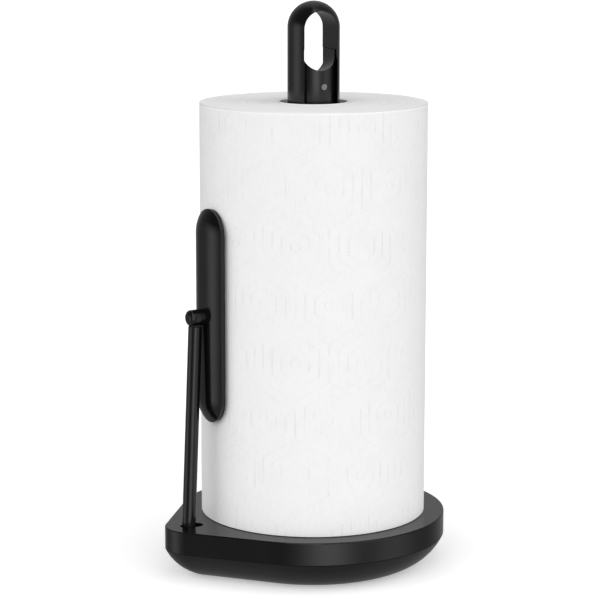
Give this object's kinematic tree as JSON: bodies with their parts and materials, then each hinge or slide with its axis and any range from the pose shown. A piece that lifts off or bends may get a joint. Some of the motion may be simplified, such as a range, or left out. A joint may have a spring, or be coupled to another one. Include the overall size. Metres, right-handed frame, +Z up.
{
  "type": "paper towel holder",
  "caption": "Free-standing paper towel holder: weighted base with a corner, loop-topped post and a sprung arm whose pad presses on a full roll.",
  "frame": {"origin": "on the surface the holder stands on, where the post's axis meets it", "axes": "+Z up along the post, the sprung arm stands on the -X side, and the sides across it are +Y and -Y"},
  "size_m": [0.2023, 0.1808, 0.3829],
  "materials": {
    "body_black": "satin",
    "insert_black": "satin",
    "rod_black": "satin",
    "pad_black": "satin",
    "soft_black": "matte",
    "foot_rubber": "matte",
    "bright_steel": "satin",
    "ballast_iron": "matte",
    "nylon": "matte",
    "tube_black": "satin",
    "paper_white": "matte",
    "card_grey": "matte"
  },
  "bodies": {
    "base": {"base_cover": "body_black", "base_pan": "body_black", "foot_ring": "foot_rubber", "base_weight": "ballast_iron", "base_screws": "bright_steel", "post_foot": "body_black", "post_tube": "tube_black", "tie_rod": "bright_steel", "post_nut": "bright_steel", "post_washer": "bright_steel", "hub_clip": "bright_steel", "handle_loop": "body_black", "handle_insert": "insert_black", "handle_pin": "bright_steel", "pivot_bracket": "bright_steel", "bracket_screws": "bright_steel", "pivot_pin": "bright_steel", "pivot_clips": "bright_steel", "torsion_spring": "bright_steel", "stop_bumper": "soft_black"},
    "hub": {"core_hub": "nylon"},
    "roll": {"roll_core": "card_grey", "paper_roll": "paper_white"},
    "arm": {"arm_foot": "nylon", "pivot_bushes": "nylon", "arm_rod": "rod_black"},
    "pad": {"pad_shell": "pad_black", "pad_liner": "soft_black", "pad_knuckle": "pad_black", "pad_pivot_pin": "rod_black", "pad_screw": "bright_steel"}
  },
  "joints": [
    {"name": "hub_spin", "type": "hinge", "parent": "base", "child": "hub", "pos_m": [0, 0, 0.045], "axis": [0, 0, 1], "continuous": true},
    {"name": "roll_lift", "type": "slide", "parent": "hub", "child": "roll", "axis": [0, 0, 1], "range_m": [0, 0.35]},
    {"name": "arm_swing", "type": "hinge", "parent": "base", "child": "arm", "pos_m": [-0.0972, 0, 0.016], "axis": [0, -1, 0], "range_deg": [0, 2.5], "stiffness_Nm_per_rad": 1.5, "springref_deg": -22.92, "deforming": ["torsion_spring"]},
    {"name": "pad_tilt", "type": "hinge", "parent": "arm", "child": "pad", "pos_m": [-0.09031, 0, 0.177], "axis": [0, -1, 0], "range_deg": [-2.5, 0]}
  ],
  "couplings": [
    {"joint": "pad_tilt", "follows": "arm_swing", "ratio": -1}
  ]
}
